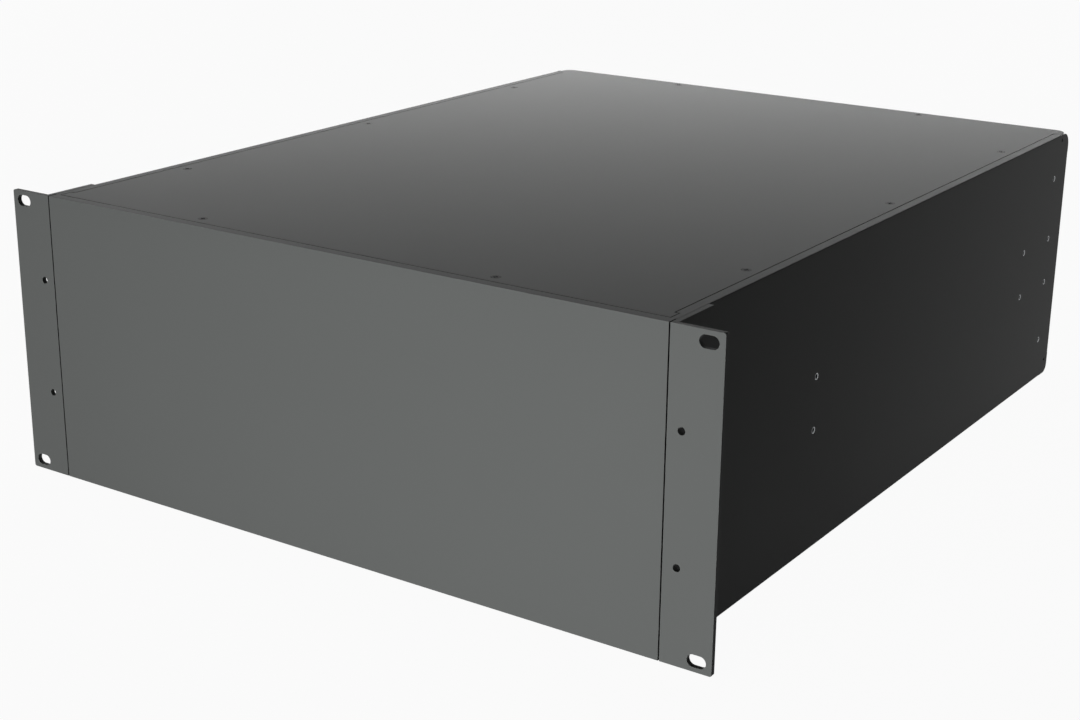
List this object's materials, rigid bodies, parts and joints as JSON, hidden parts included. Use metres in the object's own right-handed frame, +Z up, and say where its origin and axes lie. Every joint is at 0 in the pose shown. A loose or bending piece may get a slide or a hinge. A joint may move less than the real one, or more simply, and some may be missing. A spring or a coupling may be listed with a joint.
{
  "type": "rack mount instrument enclosure",
  "caption": "Low rectangular sheet metal case for a nineteen inch rack, with flush covers, a plain thick front panel and slotted angle ears.",
  "frame": {"origin": "centre of the four rack slots, on the rear faces of the ears, where the case meets the rack uprights", "axes": "+X to the right seen from the front, +Y back along the depth of the case, +Z up"},
  "size_m": [0.4826, 0.5574, 0.177],
  "materials": {
    "case_paint": "satin",
    "zinc_steel": "satin",
    "screw_black": "satin",
    "earth_brass": "satin"
  },
  "bodies": {
    "root": {"front_panel": "case_paint", "rack_ear_left": "case_paint", "rack_ear_right": "case_paint", "side_panel_left": "case_paint", "side_panel_right": "case_paint", "cover_strips_left": "zinc_steel", "cover_strips_right": "zinc_steel", "top_cover": "case_paint", "bottom_cover": "case_paint", "rear_panel": "case_paint", "front_top_rail": "zinc_steel", "front_bottom_rail": "zinc_steel", "top_cover_screws": "screw_black", "bottom_cover_screws": "screw_black", "side_nuts_left": "zinc_steel", "side_nuts_right": "zinc_steel", "front_rail_nuts": "zinc_steel", "rear_panel_nuts": "zinc_steel", "ear_screws_left": "screw_black", "ear_screws_right": "screw_black", "front_panel_screws": "zinc_steel", "rear_panel_screws": "screw_black", "earth_stud": "earth_brass", "earth_washer": "earth_brass", "earth_nut": "earth_brass"}
  },
  "joints": []
}
